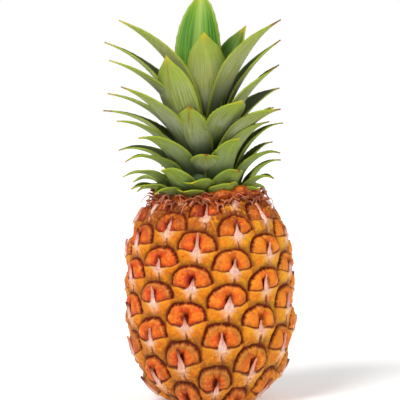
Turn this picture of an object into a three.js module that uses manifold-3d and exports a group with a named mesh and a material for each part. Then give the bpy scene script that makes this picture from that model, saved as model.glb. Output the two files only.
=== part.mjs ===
// A pineapple standing upright on its base: the fruit with its spiral of eyes, the stub of the stalk it was cut
// from, the neck on its shoulder with a ring of dried bracts, and the leafy crown. Millimetres, +Z up, the front
// towards -Y, with the origin where the fruit's axis meets the surface that it stands on.

import * as THREE from "three";
import { mergeVertices } from "three/addons/utils/BufferGeometryUtils.js";
import Module from "manifold-3d";

const wasm = await Module();
wasm.setup();

// The fruit's outline under its relief: two superelliptic halves that meet at the widest height
const barrel = {
  radius: 56.2,
  widestHeight: 80,
  upperReach: 70,
  lowerReach: 86,
  upperPower: 3,
  lowerPower: 3.2,
};

// The spiral that eyes, bracts and leaves grow on, counted up and down from one eye at the front of the shoulder:
// the turn from each to the next, in degrees, and the length along the outline at count n, in millimetres
const spiral = {
  divergence: -138.1,
  azimuth: -7.83,
  arc: [27.7, 1.802, 0.00235, 0.000178],
  lean: 0.044,
  halfColumn: 13.57,
  column: 13,
  lowest: -60,
  highestEye: 17,
  highestBract: 40,
};

// One eye's points: across in half columns, up in column pitches and out of the skin in millimetres. The groove
// runs over its domes along the arch, from the left to the right; the dry tip stands on the ridge that runs
// between its two lips, over the pit in the domes' middle; and the bract slopes down from the ridge
const eyePoints = {
  grooveLeft: [-0.98, 0.24, -1.5],
  grooveHighLeft: [-0.55, 0.54, -1.7],
  grooveTopLeft: [-0.12, 0.62, -1.7],
  grooveTopRight: [0.42, 0.58, -1.7],
  grooveHighRight: [0.84, 0.42, -1.7],
  grooveRight: [1.03, 0.16, -1.5],
  lipLeft: [-0.92, 0.02, 0.9],
  crestLeft: [-0.82, 0.24, 1.2],
  crestHighLeft: [-0.48, 0.46, 1.3],
  crestTop: [0.0, 0.53, 1.4],
  crestHighRight: [0.48, 0.46, 1.3],
  crestRight: [0.82, 0.24, 1.2],
  lipRight: [0.92, 0.02, 0.9],
  domeLeft: [-0.48, 0.26, 2.3],
  creaseLeft: [-0.2, 0.36, 1.1],
  domeTop: [0.0, 0.43, 1.7],
  creaseRight: [0.2, 0.36, 1.1],
  domeRight: [0.48, 0.26, 2.3],
  underLeft: [-0.5, 0.07, 1.2],
  pit: [0.0, 0.17, 0.1],
  underRight: [0.5, 0.07, 1.2],
  ridgeLeft: [-0.58, -0.01, 2.5],
  tipLeft: [-0.19, -0.05, 2.9],
  tipRight: [0.19, -0.05, 2.9],
  ridgeRight: [0.58, -0.01, 2.5],
  tip: [0.02, 0.45, 4.3],
  bractFarLeft: [-0.98, -0.14, 0.3],
  bractLeft: [-0.45, -0.24, 1.0],
  bractMiddle: [0.02, -0.26, 0.5],
  bractRight: [0.45, -0.28, 1.0],
  bractFarRight: [0.98, -0.14, 0.3],
};

const gap = 0.35;
const smallest = 0.08;
const cleaningRounds = 2;
const shelf = 140.6;
const stub = { radius: 13, length: 11, sides: 28 };
const neck = { footRadius: 32, topRadius: 18, height: 6.4, sides: 36 };

const bract = { length: 15, width: 9, thickness: 1.1, channel: 1.6, bow: 0.16, rows: 4 };

// The crown: its stem and its leaves, which are counted up the stem. A rolled leaf is narrower than it is flat
const crown = {
  divergence: -137.5,
  lowestLeaf: -12,
  frontLeaf: 40,
  rolledShare: 0.84,
  heartLeaves: 4,
  stemFoot: 17,
  stemTop: 10.5,
  stemHeight: 40,
  footRise: 26,
  leafRows: 6,
  leafThickness: 1.2,
};

// The leaves that the front shows: reach and height of the tip in millimetres, a turn off the spiral in degrees, the
// flat width, the share of the length that the leaf bows, and how full its outline is towards the tip
const seenLeaves = {
  "-10": [44, 147, 20, 20, 0.12, 1.4],
  "-7": [40, 147, -8, 25, 0.1, 1.7],
  "-5": [50, 154, 0, 19, 0.2, 1.4],
  "-4": [56, 149, 0, 19, 0.16, 1.3],
  "-2": [41, 152, 8, 25, 0.1, 1.7],
  "-1": [62.5, 151.5, 0, 19, 0.2, 1.3],
  0: [53, 165.5, 0, 20, 0.18, 1.3],
  1: [52, 162, 0, 24, 0.13, 1.8],
  3: [45, 160, -18, 24, 0.13, 1.8],
  4: [59, 156.5, 0, 21, 0.2, 1.4],
  5: [51, 178, -20, 20, 0.14, 1.3],
  6: [41, 153, -10, 26, 0.1, 1.8],
  8: [52, 171, 0, 23, 0.17, 1.5],
  9: [63, 168, -5, 20, 0.2, 1.4],
  11: [49, 182.5, 0, 25, 0.1, 1.9],
  12: [66, 174.5, 0, 22, 0.18, 1.5],
  13: [59.5, 191, 0, 21, 0.14, 1.3],
  14: [61.5, 184, -24, 27, 0.15, 1.9],
  16: [50.5, 193, 0, 24, 0.14, 1.6],
  17: [63, 195.5, 0, 21, 0.15, 1.4],
  18: [57, 202, -20, 20, 0.12, 1.3],
  19: [42, 172, -8, 24, 0.08, 1.8],
  20: [77, 202.5, 20, 21, 0.16, 1.3],
  21: [48, 202.5, 0, 22, 0.12, 1.4],
  22: [67, 219, -14, 27, 0.13, 1.7],
  24: [64.5, 201.5, 12, 25, 0.14, 1.6],
  25: [69, 214.5, 0, 21, 0.15, 1.3],
  26: [65, 215.5, 0, 21, 0.15, 1.3],
  27: [37, 205.5, -5, 31, 0.03, 1.6],
  29: [54, 231.5, 0, 26, 0.11, 1.6],
  30: [72, 237, 0, 23, 0.14, 1.4],
  32: [50, 208, 10, 28, 0.08, 1.9],
  33: [77, 250.5, 4, 24, 0.14, 1.3],
  34: [56, 249, 0, 24, 0.12, 1.3],
  35: [45, 239.5, -3, 34, -0.05, 2.0],
  36: [16, 287, -8, 34, 0.07, 1.85],
  37: [66, 261.5, 0, 27, 0.14, 1.5],
  38: [59.5, 264.5, 5, 34, 0.14, 1.6],
  39: [34, 259.5, -20, 33, 0.07, 1.9],
  40: [24, 255, 0, 29, 0.02, 2.2],
};

const materials = {
  fruit: new THREE.MeshStandardMaterial({ color: 0xd8892b, roughness: 0.5 }),
  stub: new THREE.MeshStandardMaterial({ color: 0xcdb083, roughness: 0.85 }),
  neck: new THREE.MeshStandardMaterial({ color: 0x9a5a44, roughness: 0.8 }),
  crown: new THREE.MeshStandardMaterial({ color: 0x7d9450, roughness: 0.6 }),
};

const radians = Math.PI / 180;

// A repeatable draw between 0 and 1 for a whole number
function draw(seed) {
  const wave = Math.sin(seed * 12.9898 + 4.1414) * 43758.5453;
  return wave - Math.floor(wave);
}

function solidOf(geometry, tolerance = 1e-3) {
  const bare = geometry.index ? geometry.toNonIndexed() : geometry.clone();
  bare.deleteAttribute("normal");
  bare.deleteAttribute("uv");
  const merged = mergeVertices(bare, tolerance);
  return new wasm.Manifold(
    new wasm.Mesh({
      numProp: 3,
      vertProperties: merged.attributes.position.array,
      triVerts: new Uint32Array(merged.index.array),
    }),
  );
}

function largestBody(solid) {
  return solid.decompose().reduce((largest, body) => (body.volume() > largest.volume() ? body : largest));
}

// A union as one body, without scraps, sealed pockets or features too small to matter
function oneBody(solid) {
  let body = largestBody(solid);
  for (let round = 0; round < cleaningRounds; round++)
    body = largestBody(solidOf(geometryOf(largestBody(body.simplify(smallest))), smallest / 4));
  return body;
}

function geometryOf(solid) {
  const mesh = solid.getMesh();
  const position = new Float32Array(mesh.numVert * 3);
  for (let i = 0; i < mesh.numVert; i++)
    position.set(mesh.vertProperties.subarray(i * mesh.numProp, i * mesh.numProp + 3), i * 3);
  const geometry = new THREE.BufferGeometry();
  geometry.setAttribute("position", new THREE.BufferAttribute(position, 3));
  geometry.setIndex(new THREE.BufferAttribute(new Uint32Array(mesh.triVerts), 1));
  geometry.computeVertexNormals();
  return geometry;
}

function solidFrom(points, triangles) {
  const geometry = new THREE.BufferGeometry().setFromPoints(points);
  geometry.setIndex(triangles);
  return solidOf(geometry);
}

// A solid turned about the axis from its profile of radius and height, which runs upwards
function turned(profile, sides) {
  const points = profile.map(([radius, height]) => new THREE.Vector2(radius, height));
  return solidOf(new THREE.LatheGeometry(points, sides).rotateX(Math.PI / 2));
}

function slab(low, high) {
  const width = barrel.radius * 3;
  return solidOf(new THREE.BoxGeometry(width, width, high - low).translate(0, 0, (low + high) / 2));
}

function barrelRadius(height) {
  const above = height > barrel.widestHeight;
  const reach = above ? barrel.upperReach : barrel.lowerReach;
  const power = above ? barrel.upperPower : barrel.lowerPower;
  const share = Math.min(Math.abs(height - barrel.widestHeight) / reach, 1);
  return barrel.radius * Math.sqrt(1 - share ** power);
}

// The outline walked once in short steps, so that a length along it, from the widest height, gives a place
function walkOutline() {
  const steps = 4000;
  const low = barrel.widestHeight - barrel.lowerReach;
  const high = barrel.widestHeight + barrel.upperReach;
  const places = [];
  let length = 0;
  let lengthAtWidest = 0;
  for (let i = 0; i <= steps; i++) {
    const height = low + ((high - low) * i) / steps;
    const radius = barrelRadius(height);
    const last = places[i - 1];
    if (last) length += Math.hypot(radius - last.radius, height - last.height);
    if (height <= barrel.widestHeight) lengthAtWidest = length;
    places.push({ length, radius, height });
  }
  for (const place of places) place.length -= lengthAtWidest;
  return places;
}
const outline = walkOutline();

function onOutline(length) {
  let low = 0;
  let high = outline.length - 1;
  while (high - low > 1) {
    const middle = (low + high) >> 1;
    if (outline[middle].length <= length) low = middle;
    else high = middle;
  }
  const from = outline[low];
  const to = outline[high];
  const share = THREE.MathUtils.clamp((length - from.length) / (to.length - from.length), 0, 1);
  return {
    radius: THREE.MathUtils.lerp(from.radius, to.radius, share),
    height: THREE.MathUtils.lerp(from.height, to.height, share),
    out: new THREE.Vector2(to.height - from.height, from.radius - to.radius).normalize(),
  };
}

// A point of the skin from its azimuth, its length along the outline and how far it stands out
function skinPoint(azimuth, length, proud) {
  const leaning = spiral.lean * onOutline(length).radius * Math.sin(azimuth);
  const place = onOutline(length + leaning);
  const radius = Math.max(place.radius + proud * place.out.x, 0.4);
  const height = place.height + proud * place.out.y;
  return new THREE.Vector3(radius * Math.sin(azimuth), -radius * Math.cos(azimuth), height);
}

function spiralArc(count) {
  return spiral.arc.reduce((sum, factor, power) => sum + factor * count ** power, 0);
}

function spiralAzimuth(count) {
  return (spiral.azimuth + spiral.divergence * count) * radians;
}

// The corners of one eye's tile as chains that run from left to right, each corner a name and the eye that owns it,
// counted from this one. Grooves are shared: this eye's lower edge is the top of the eyes below it
const leftWing = ["grooveHighRight", -5];
const rightWing = ["grooveHighLeft", -8];
const own = (...names) => names.map((name) => [name, 0]);
const chains = {
  groove: [
    leftWing,
    ...own("grooveLeft", "grooveHighLeft", "grooveTopLeft", "grooveTopRight", "grooveHighRight", "grooveRight"),
    rightWing,
  ],
  crest: [
    leftWing,
    ...own("lipLeft", "crestLeft", "crestHighLeft", "crestTop", "crestHighRight", "crestRight", "lipRight"),
    rightWing,
  ],
  ridge: [
    leftWing,
    ...own("lipLeft", "ridgeLeft", "tipLeft", "tipRight", "ridgeRight", "lipRight"),
    rightWing,
  ],
  bract: [
    leftWing,
    ...own("bractFarLeft", "bractLeft", "bractMiddle", "bractRight", "bractFarRight"),
    rightWing,
  ],
  hem: [
    leftWing,
    ["grooveRight", -5],
    ["grooveHighLeft", -13],
    ["grooveTopLeft", -13],
    ["grooveTopRight", -13],
    ["grooveHighRight", -13],
    ["grooveLeft", -8],
    rightWing,
  ],
};

function acrossOf([name, owner]) {
  const turn = THREE.MathUtils.euclideanModulo(spiral.divergence * owner + 180, 360) - 180;
  return eyePoints[name][0] + turn / spiral.halfColumn;
}

// The triangles of one eye's tile, each of three corners
function tileTriangles() {
  const triangles = [];
  const same = (a, b) => a[0] === b[0] && a[1] === b[1];
  const face = (a, b, c) => {
    if (!same(a, b) && !same(b, c) && !same(c, a)) triangles.push([a, b, c]);
  };
  // Two chains are laced together, the first above the second
  const lace = (upper, lower) => {
    let i = 0;
    let j = 0;
    while (i < upper.length - 1 || j < lower.length - 1) {
      const nextUp = i < upper.length - 1 ? acrossOf(upper[i + 1]) : Infinity;
      const nextDown = j < lower.length - 1 ? acrossOf(lower[j + 1]) : Infinity;
      if (nextUp < nextDown) {
        face(upper[i], lower[j], upper[i + 1]);
        i += 1;
      } else {
        face(upper[i], lower[j], lower[j + 1]);
        j += 1;
      }
    }
  };
  const [tip, tipLeft, tipRight, pit, domeTop] = own("tip", "tipLeft", "tipRight", "pit", "domeTop");
  lace(chains.groove, chains.crest);
  const domes = own("lipLeft", "domeLeft", "creaseLeft", "domeTop", "creaseRight", "domeRight", "lipRight");
  lace(chains.crest.slice(1, -1), domes);
  lace(own("lipLeft", "domeLeft", "creaseLeft"), own("lipLeft", "underLeft", "pit"));
  face(own("creaseLeft")[0], pit, domeTop);
  face(domeTop, pit, own("creaseRight")[0]);
  lace(own("creaseRight", "domeRight", "lipRight"), own("pit", "underRight", "lipRight"));
  lace(own("lipLeft", "underLeft", "pit"), own("lipLeft", "ridgeLeft", "tipLeft"));
  lace(own("pit", "underRight", "lipRight"), own("tipRight", "ridgeRight", "lipRight"));
  face(tipLeft, tipRight, tip);
  face(tipLeft, tip, pit);
  face(tip, tipRight, pit);
  lace(chains.ridge, chains.bract);
  lace(chains.bract, chains.hem);
  return triangles;
}

function eyePoint(name, count) {
  const [across, up, out] = eyePoints[name];
  const arc = spiralArc(count);
  const pitch = up > 0 ? spiralArc(count + spiral.column) - arc : arc - spiralArc(count - spiral.column);
  const size = THREE.MathUtils.clamp(pitch / 25, 0.6, 1.1);
  const azimuth = spiralAzimuth(count) + across * spiral.halfColumn * radians;
  return skinPoint(azimuth, arc + up * pitch, out * size);
}

// The skin of tiles, closed over its two ragged ends by a point on the axis beyond each cut
function eyedSolid() {
  const points = [];
  const triangles = [];
  const indexOf = new Map();
  const corner = ([name, owner], count) => {
    const key = name + (count + owner);
    if (!indexOf.has(key)) {
      indexOf.set(key, points.length);
      points.push(eyePoint(name, count + owner));
    }
    return indexOf.get(key);
  };
  const tile = tileTriangles();
  for (let count = spiral.lowest; count <= spiral.highestEye; count++)
    for (const face of tile) triangles.push(face.map((place) => corner(place, count)));

  const open = new Map();
  for (const [a, b, c] of triangles)
    for (const [from, to] of [[a, b], [b, c], [c, a]]) {
      if (!open.delete(to + " " + from)) open.set(from + " " + to, [from, to]);
    }
  const low = points.push(new THREE.Vector3(0, 0, barrel.widestHeight - barrel.lowerReach)) - 1;
  const high = points.push(new THREE.Vector3(0, 0, barrel.widestHeight + barrel.upperReach)) - 1;
  for (const [from, to] of open.values()) {
    const end = points[from].z < barrel.widestHeight ? low : high;
    triangles.push([to, from, end]);
  }
  return solidFrom(points, triangles.flat());
}

function stubSolid(extra) {
  return turned(
    [
      [0, extra ? -1 : 0],
      [stub.radius + extra, extra ? -1 : 0],
      [stub.radius + extra, stub.length],
      [stub.radius * 0.7 + extra, stub.length + 3 + extra],
      [0, stub.length + 3 + extra],
    ],
    stub.sides,
  );
}

function fruitSolid() {
  return eyedSolid().subtract(slab(-30, 0)).subtract(slab(shelf, shelf + 30)).subtract(stubSolid(gap));
}

// A leaf or bract: a channelled blade with four corners to a row, which follows a bent line in the upright plane at
// its azimuth. The foot and the tip are given as a radius and a height, and the bow lifts the line between them
function bladeSolid({ azimuth, foot, tip, bow, width, channel, thickness, rows, widthAt }) {
  const from = new THREE.Vector2(...foot);
  const to = new THREE.Vector2(...tip);
  const chord = to.clone().sub(from);
  const rise = new THREE.Vector2(-chord.y, chord.x).multiplyScalar(2 * bow);
  const middle = from.clone().add(to).multiplyScalar(0.5).add(rise);
  const line = new THREE.QuadraticBezierCurve(from, middle, to);
  const outward = new THREE.Vector3(Math.sin(azimuth), -Math.cos(azimuth), 0);
  const across = new THREE.Vector3(Math.cos(azimuth), Math.sin(azimuth), 0);
  const points = [];
  const triangles = [];
  for (let row = 0; row < rows; row++) {
    const share = row / rows;
    const place = line.getPoint(share);
    const along = line.getTangent(share);
    const half = (width / 2) * widthAt(share);
    const lift = channel * (1 - share) ** 0.6;
    const section = [
      [-half, lift],
      [0, -thickness],
      [half, lift],
      [0, 0],
    ];
    for (const [side, up] of section) {
      const inPlane = new THREE.Vector2(place.x - along.y * up, place.y + along.x * up);
      points.push(
        new THREE.Vector3(0, 0, inPlane.y).addScaledVector(outward, inPlane.x).addScaledVector(across, side),
      );
    }
  }
  const end = line.getPoint(1);
  points.push(new THREE.Vector3(0, 0, end.y).addScaledVector(outward, end.x));
  const corners = 4;
  const last = (rows - 1) * corners;
  for (let i = 0; i < corners; i++) {
    const next = (i + 1) % corners;
    for (let row = 0; row < rows - 1; row++) {
      const low = row * corners;
      const high = low + corners;
      triangles.push(low + i, low + next, high + next, low + i, high + next, high + i);
    }
    triangles.push(last + i, last + next, points.length - 1);
  }
  triangles.push(0, 3, 1, 1, 3, 2);
  return solidFrom(points, triangles);
}

// The width of a leaf along its length, as a share of its greatest width
function leafWidthAt(share, widest, base, full) {
  const swell = THREE.MathUtils.smoothstep(share, 0, widest);
  const fading = 1 - Math.max((share - widest) / (1 - widest), 0) ** full;
  return (base + (1 - base) * swell) * fading;
}

function bractWidthAt(share) {
  return (1 - share ** 2) * (0.9 + 0.4 * share);
}

function leafSolid(count) {
  const up = Math.max(count, 0) / crown.frontLeaf;
  const upright = THREE.MathUtils.smoothstep(up, 0.2, 0.8);
  const [reach, height, turn, width, bow, full] = seenLeaves[count] ?? [
    THREE.MathUtils.lerp(54, 66, Math.sin(up * Math.PI)) - 5 * draw(count),
    152 + 112 * up ** 1.2 - 6 * draw(count + 100) + Math.min(count, 0) * 0.4,
    0,
    THREE.MathUtils.lerp(20, 25, upright),
    THREE.MathUtils.lerp(0.18, 0.11, upright),
    1.5,
  ];
  const azimuth = (crown.frontLeaf - count) * -crown.divergence + turn;
  const stemRadius = THREE.MathUtils.lerp(crown.stemFoot, crown.stemTop, up ** 0.6);
  const widest = THREE.MathUtils.lerp(0.3, 0.56, upright) + 0.08 * (full - 1.6);
  return bladeSolid({
    azimuth: azimuth * radians,
    foot: [stemRadius * 0.8, shelf + neck.height + 2 + crown.footRise * up ** 1.5],
    tip: [reach, height],
    bow,
    width: width * crown.rolledShare,
    channel: THREE.MathUtils.lerp(3.5, 6.5, upright),
    thickness: crown.leafThickness,
    rows: crown.leafRows,
    widthAt: (share) => leafWidthAt(share, widest, THREE.MathUtils.lerp(0.9, 0.66, upright), full),
  });
}

function heartLeafSolid(count) {
  return bladeSolid({
    azimuth: (-80 - crown.divergence * count) * radians,
    foot: [2, shelf + neck.height + crown.footRise + 8],
    tip: [8 + 3 * count, 236 - 12 * count],
    bow: 0.05,
    width: 13,
    channel: 4,
    thickness: crown.leafThickness,
    rows: crown.leafRows - 2,
    widthAt: (share) => leafWidthAt(share, 0.5, 0.7, 2),
  });
}

function crownSolid() {
  const foot = shelf + neck.height + 2 * gap;
  const stem = turned(
    [
      [0, foot],
      [crown.stemFoot, foot],
      [crown.stemFoot, foot + 6],
      [crown.stemTop, foot + crown.stemHeight],
      [crown.stemTop * 0.6, foot + crown.stemHeight * 1.4],
      [0, foot + crown.stemHeight * 1.5],
    ],
    24,
  );
  const pieces = [stem];
  for (let count = crown.lowestLeaf; count <= crown.frontLeaf; count++) pieces.push(leafSolid(count));
  for (let count = 0; count < crown.heartLeaves; count++) pieces.push(heartLeafSolid(count));
  return oneBody(wasm.Manifold.union(pieces).subtract(slab(foot - 40, foot)));
}

function neckSolid() {
  const foot = shelf + gap;
  const cone = turned(
    [
      [0, foot],
      [neck.footRadius, foot],
      [neck.footRadius - 3, foot + 2.2],
      [neck.topRadius + 2, foot + neck.height - 1],
      [neck.topRadius, foot + neck.height],
      [0, foot + neck.height],
    ],
    neck.sides,
  );
  const pieces = [cone];
  for (let count = spiral.highestEye + 1; count <= spiral.highestBract; count++) {
    const up = (count - spiral.highestEye) / (spiral.highestBract - spiral.highestEye);
    const start = THREE.MathUtils.lerp(neck.footRadius - 4, neck.topRadius - 2, up);
    const height = foot + 1.4 + (neck.height - 3) * up;
    const length = bract.length * THREE.MathUtils.lerp(0.8, 1.15, draw(count));
    const slope = THREE.MathUtils.lerp(-8, 22, up) + 14 * (draw(count + 50) - 0.5);
    pieces.push(
      bladeSolid({
        azimuth: spiralAzimuth(count),
        foot: [start, height],
        tip: [start + length * Math.cos(slope * radians), height + length * Math.sin(slope * radians)],
        bow: bract.bow,
        width: bract.width,
        channel: bract.channel,
        thickness: bract.thickness,
        rows: bract.rows,
        widthAt: bractWidthAt,
      }),
    );
  }
  const top = foot + neck.height;
  const seat = crown.stemFoot + gap;
  const crownFoot = turned([[0, top], [seat, top], [seat + 16, top + 2], [seat + 16, top + 20], [0, top + 20]], 36);
  return oneBody(wasm.Manifold.union(pieces).subtract(crownFoot));
}

function named(name, solid, material) {
  const mesh = new THREE.Mesh(geometryOf(solid), material);
  mesh.name = name;
  return mesh;
}

const group = new THREE.Group();
group.add(named("fruit", fruitSolid(), materials.fruit));
group.add(named("stem_stub", stubSolid(0), materials.stub));
group.add(named("neck_bracts", neckSolid(), materials.neck));
group.add(named("crown", crownSolid(), materials.crown));

export default group;
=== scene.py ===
import math

import bpy
import numpy as np
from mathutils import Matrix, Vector


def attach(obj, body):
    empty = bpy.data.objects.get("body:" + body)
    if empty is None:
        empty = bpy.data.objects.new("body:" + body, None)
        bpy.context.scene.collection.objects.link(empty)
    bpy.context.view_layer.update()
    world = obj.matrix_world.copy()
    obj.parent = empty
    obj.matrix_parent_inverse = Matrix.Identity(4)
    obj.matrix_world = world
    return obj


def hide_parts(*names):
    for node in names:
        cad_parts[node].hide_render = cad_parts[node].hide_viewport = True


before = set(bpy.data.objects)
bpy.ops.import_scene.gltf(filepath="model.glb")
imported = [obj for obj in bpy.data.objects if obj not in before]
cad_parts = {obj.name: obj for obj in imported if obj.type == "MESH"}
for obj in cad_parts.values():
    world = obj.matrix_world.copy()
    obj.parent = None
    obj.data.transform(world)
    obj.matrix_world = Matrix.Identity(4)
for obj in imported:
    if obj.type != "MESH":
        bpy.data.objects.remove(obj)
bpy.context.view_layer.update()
bpy.ops.object.select_all(action="DESELECT")


# The camera looks at the pineapple's front from a metre and a half away with a long lens, a few degrees
# above the level, and rolled a little, so that the crown leans to the left.
camera_distance = 1.5
camera_elevation = math.radians(3.0)
camera_roll = math.radians(-1.34)
camera_aim = Vector((-0.0053, 0.0, 0.1392))
away = Vector((0.0, -math.cos(camera_elevation), math.sin(camera_elevation)))
bpy.ops.object.camera_add(location=camera_aim + away * camera_distance)
camera = bpy.context.object
camera.rotation_euler = (math.radians(90) - camera_elevation, 0, 0)
camera.rotation_euler.rotate_axis("Z", camera_roll)
camera.data.lens = 195
camera.data.sensor_width = 36
bpy.context.scene.camera = camera


# The fruit is a barrel of a hundred fused fruitlets, or eyes. Each lies at a fixed turn from the last, so
# that they wind round it on spirals. An eye has two fleshy domes under an arched groove, and below them a
# stiff bract, whose edge overlaps the domes.
barrel_radius = 56.2
widest_height = 80.0
upper_reach, upper_power = 70.0, 3.0
lower_reach, lower_power = 86.0, 3.2
# The spiral's turn and start are in degrees; its arc is the length up the outline, by powers of the count
spiral_turn = -138.1
spiral_start = -7.83
spiral_arc = (27.7, 1.802, 0.00235, 0.000178)
spiral_lean = 0.044
# Half of a column in degrees and in millimetres, its pitch, and the width and arch of an eye in them
half_column = 13.57
half_column_mm = 13.4
pitch_mm = 25.0
eye_width = 1.05
arch_power = 2.2
arch_height = 0.61
line_rise = 0.1
# The next eye in a column is thirteen counts further up
column = 13
lowest_eye, highest_eye = -64, 34
groove_depth = 1.8
groove_width = 0.9
deepest, far_off = -2.4, 9.0
skin_columns, skin_rows = 448, 212
skin_foot_height, skin_top_height = -4.4, 146.0
least_radius = 0.4
outline_steps, slope_step = 6001, 0.5
shelf_height = 140.6
stub_socket_radius, stub_socket_depth = 13.35, 14.35

outline_height = np.linspace(widest_height - lower_reach, widest_height + upper_reach, outline_steps)
outline_share = np.where(
    outline_height > widest_height,
    ((outline_height - widest_height) / upper_reach).clip(0, 1) ** upper_power,
    ((widest_height - outline_height) / lower_reach).clip(0, 1) ** lower_power,
)
outline_radius = barrel_radius * np.sqrt(1 - outline_share)
outline_step = np.hypot(np.diff(outline_radius), np.diff(outline_height))
outline_length = np.concatenate(([0.0], np.cumsum(outline_step)))
outline_length -= np.interp(widest_height, outline_height, outline_length)


def arc_of(count):
    """The length along the outline, up from the widest height, of an eye by its count on the spiral."""
    return sum(factor * count**power for power, factor in enumerate(spiral_arc))


def azimuth_of(count):
    return np.radians(spiral_start + spiral_turn * count)


def turned_from(azimuth, middle):
    """How far azimuths are turned from a middle one, within half a turn to either side."""
    return (azimuth - middle + math.pi) % (2 * math.pi) - math.pi


def skin_place(azimuth, length, proud):
    """Points of the skin in millimetres, from azimuths, lengths along the outline and heights above it."""
    level_radius = np.interp(length, outline_length, outline_radius)
    leaned = length + spiral_lean * level_radius * np.sin(azimuth)
    radius = np.interp(leaned, outline_length, outline_radius)
    height = np.interp(leaned, outline_length, outline_height)
    ahead = np.interp(leaned + slope_step, outline_length, outline_radius)
    above = np.interp(leaned + slope_step, outline_length, outline_height)
    behind = np.interp(leaned - slope_step, outline_length, outline_radius)
    below = np.interp(leaned - slope_step, outline_length, outline_height)
    out, up = above - below, behind - ahead
    size = np.hypot(out, up)
    radius = np.maximum(radius + proud * out / size, least_radius)
    return np.stack(
        [radius * np.sin(azimuth), -radius * np.cos(azimuth), height + proud * up / size], axis=-1
    )


def ripple(points, size, seed):
    """Smooth noise from about -1 to 1 that repeats for a seed; size is the width of its lumps."""
    waves = 7
    draw = np.random.default_rng(seed)
    total = np.zeros(len(points))
    for _ in range(waves):
        direction = draw.normal(size=3)
        direction *= draw.uniform(0.6, 1.3) * math.pi / size / np.linalg.norm(direction)
        total += np.sin(points @ direction + draw.uniform(0, 2 * math.pi))
    return total / math.sqrt(waves / 2) / 1.6


def bump_over(across, up, centre, spread):
    """A rounded bump of height 1 about a centre, as wide as its spread."""
    return np.exp(-(((across - centre[0]) / spread[0]) ** 2) - ((up - centre[1]) / spread[1]) ** 2)


def near_crease(across, up, start, end, width):
    """1 on a straight crease between two points, and less beside it."""
    run = (end[0] - start[0], end[1] - start[1])
    share = ((across - start[0]) * run[0] + (up - start[1]) * run[1]) / (run[0] ** 2 + run[1] ** 2)
    share = share.clip(0, 1)
    distance = np.hypot(across - start[0] - share * run[0], up - start[1] - share * run[1])
    return np.exp(-((distance / width) ** 2))


# What makes each eye differ: its tilt, fullness and shift, how full its lobes are and how its tip sways
eye_counts = np.arange(lowest_eye, highest_eye + 1)
eye_arc = arc_of(eye_counts)
eye_pitch_up = arc_of(eye_counts + column) - eye_arc
eye_pitch_down = eye_arc - arc_of(eye_counts - column)
eye_draw = np.random.default_rng(1046).uniform(-1, 1, (len(eye_counts), 9))
eye_tilt = 0.05 * eye_draw[:, 0]
eye_fullness = 1 + 0.05 * eye_draw[:, 1]
eye_shift = 0.04 * eye_draw[:, 2]
eye_lobes = 1 + 0.3 * eye_draw[:, 3:6]
eye_sway = 0.09 * eye_draw[:, 6]
eye_relief = np.clip(eye_pitch_up / pitch_mm, 0.4, 1.1)


def line_of(which, across):
    """How high an eye's line between bract and domes runs, in pitches: up at both ends, and tilted."""
    return -0.02 + line_rise * across**2 + eye_tilt[which] * across


def on_eye(which, azimuth, length):
    """Where points lie on an eye: across in half columns, and up from its line in pitches."""
    flat = skin_place(azimuth, length, 0.0)
    turn = turned_from(azimuth, azimuth_of(eye_counts[which]))
    gap = length - eye_arc[which]
    across = np.degrees(turn) / half_column + 0.035 * ripple(flat, 9.0, 11) + 0.02 * ripple(flat, 3.6, 12)
    up = np.where(gap > 0, gap / eye_pitch_up[which], gap / eye_pitch_down[which])
    up = up + 0.025 * ripple(flat, 9.0, 13) + 0.015 * ripple(flat, 3.6, 14)
    across = (across + eye_shift[which]) / eye_width
    return across, (up - line_of(which, across)) / eye_fullness[which]


def arch_reach(across, up):
    """Under 1 within an eye's arch, and over 1 beyond it."""
    return (np.abs(across) ** arch_power + np.maximum(up / arch_height, 0) ** arch_power) ** (1 / arch_power)


def dome_relief(which, across, up):
    """How far the domes of an eye stand out, in millimetres: two lobes at the sides, a small one at the top,
    and creases that run from the pit behind the tip."""
    inside = np.maximum(1 - arch_reach(across, up), 0) * half_column_mm
    sway = eye_sway[which]
    left, right, top = eye_lobes[which]
    height = -groove_depth + 3.4 * (1 - np.exp(-inside / 1.15))
    height += 1.7 * left * bump_over(across, up, (-0.5, 0.24), (0.28, 0.19))
    height += 1.7 * right * bump_over(across, up, (0.5, 0.24), (0.28, 0.19))
    height += 0.8 * top * bump_over(across, up, (0.0, 0.46), (0.2, 0.08))
    pit = (sway, 0.2)
    height -= 1.3 * near_crease(across, up, pit, (sway - 0.27, 0.56), 0.055)
    height -= 1.3 * near_crease(across, up, pit, (sway + 0.27, 0.56), 0.055)
    height -= 1.2 * near_crease(across, up, pit, (sway * 0.5, 0.0), 0.09)
    height -= 0.5 * near_crease(across, up, (-0.4, 0.2), (-0.95, 0.3 + 0.1 * sway), 0.04)
    height -= 0.5 * near_crease(across, up, (0.4, 0.2), (0.95, 0.3 - 0.1 * sway), 0.04)
    height -= 1.6 * bump_over(across, up, pit, (0.12, 0.09))
    return height - 1.3 * np.exp(-((up / 0.045) ** 2))


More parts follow.
